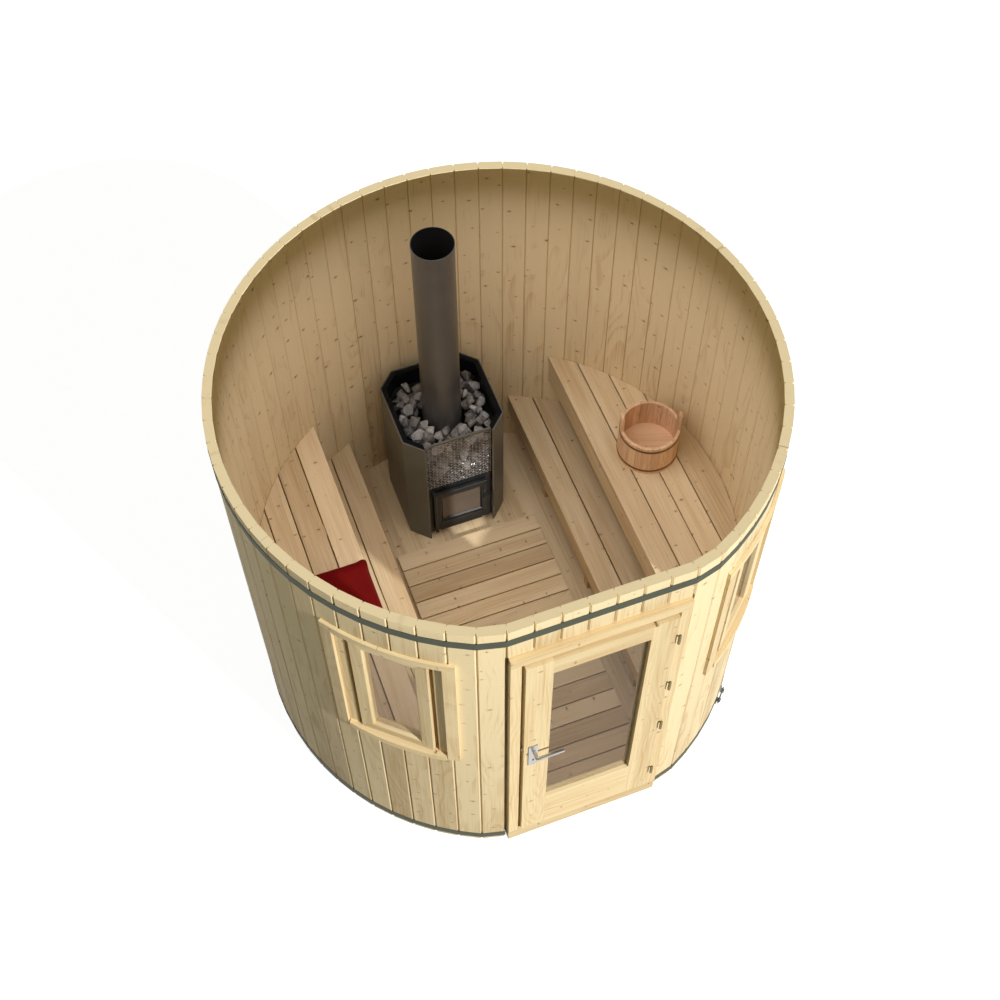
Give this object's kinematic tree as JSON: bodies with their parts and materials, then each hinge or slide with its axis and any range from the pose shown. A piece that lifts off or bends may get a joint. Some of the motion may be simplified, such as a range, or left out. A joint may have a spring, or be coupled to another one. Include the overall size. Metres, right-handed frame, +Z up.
{
  "type": "upright round barrel sauna with open top",
  "caption": "Round stave-built sauna cabin with a flat glazed door front, windows, two bench tiers, a wood stove and flue, open at the top.",
  "frame": {"origin": "centre of the round plan, on the ground under the middle floor joist", "axes": "+Z up, +X to the right along the door front, the door faces -Y"},
  "size_m": [2.4554, 2.4757, 2.15],
  "materials": {
    "wall_wood": "planed spruce staves with fine knots, oiled clear",
    "floor_wood": "planed spruce boards",
    "bench_wood": "sanded spruce planks",
    "joinery_wood": "planed and jointed spruce",
    "hoop_steel": "grey coated steel band",
    "zinc_steel": "zinc plated",
    "hinge_brass": "dull brass plated",
    "lever_steel": "satin chrome plated",
    "clear_glass": "clear",
    "stove_steel": "heat resistant satin paint",
    "stove_black": "heat resistant dark paint",
    "grille_steel": "raw steel mesh",
    "stones": "grey broken stone",
    "fire_glass": "heat resistant, slightly smoked",
    "flue_steel": "heat resistant satin paint",
    "bucket_wood": "oiled reddish staves",
    "pad_fabric": "deep red woven cotton"
  },
  "bodies": {
    "cabin": {"wall_front_left": "wall_wood", "wall_side_left": "wall_wood", "wall_rear_left": "wall_wood", "wall_front_right": "wall_wood", "wall_side_right": "wall_wood", "wall_rear_right": "wall_wood", "wall_over_door": "wall_wood", "top_hoop": "hoop_steel", "bottom_hoop": "hoop_steel", "hoop_tensioner": "zinc_steel", "floor_joists": "floor_wood", "floor": "floor_wood", "duckboard": "floor_wood", "lower_seat_left": "bench_wood", "upper_seat_left": "bench_wood", "bench_supports_left": "bench_wood", "lower_seat_right": "bench_wood", "upper_seat_right": "bench_wood", "bench_supports_right": "bench_wood", "door_frame": "joinery_wood", "door_sill": "joinery_wood", "door_hinges_fixed": "hinge_brass", "window_trim_left": "joinery_wood", "window_lining_left": "joinery_wood", "window_casement_left": "joinery_wood", "window_glass_left": "clear_glass", "window_trim_right": "joinery_wood", "window_lining_right": "joinery_wood", "window_casement_right": "joinery_wood", "window_glass_right": "clear_glass", "stove_casing": "stove_steel", "stove_rim": "stove_black", "stove_firebox": "stove_black", "stove_grille": "grille_steel", "stove_stones": "stones", "flue_pipe": "flue_steel", "bucket": "bucket_wood", "seat_pad": "pad_fabric"},
    "door": {"door_leaf": "joinery_wood", "door_glass": "clear_glass", "door_lock_plates": "lever_steel", "door_hinges_moving": "hinge_brass"},
    "lever": {"door_lever": "lever_steel"},
    "stove_door": {"fire_door": "stove_black", "fire_door_glass": "fire_glass"}
  },
  "joints": [
    {"name": "door_hinge", "type": "hinge", "parent": "cabin", "child": "door", "pos_m": [0.3345, -1.19777, 1], "axis": [0, 0, 1], "range_deg": [0, 110]},
    {"name": "lever_turn", "type": "hinge", "parent": "door", "child": "lever", "pos_m": [-0.2844, -1.18677, 1.075], "axis": [0, 1, 0], "range_deg": [0, 45], "stiffness_Nm_per_rad": 0.6, "springref_deg": -34.38},
    {"name": "stove_door_hinge", "type": "hinge", "parent": "cabin", "child": "stove_door", "pos_m": [-0.147, 0.564, 0.3], "axis": [0, 0, -1], "range_deg": [0, 110]}
  ]
}
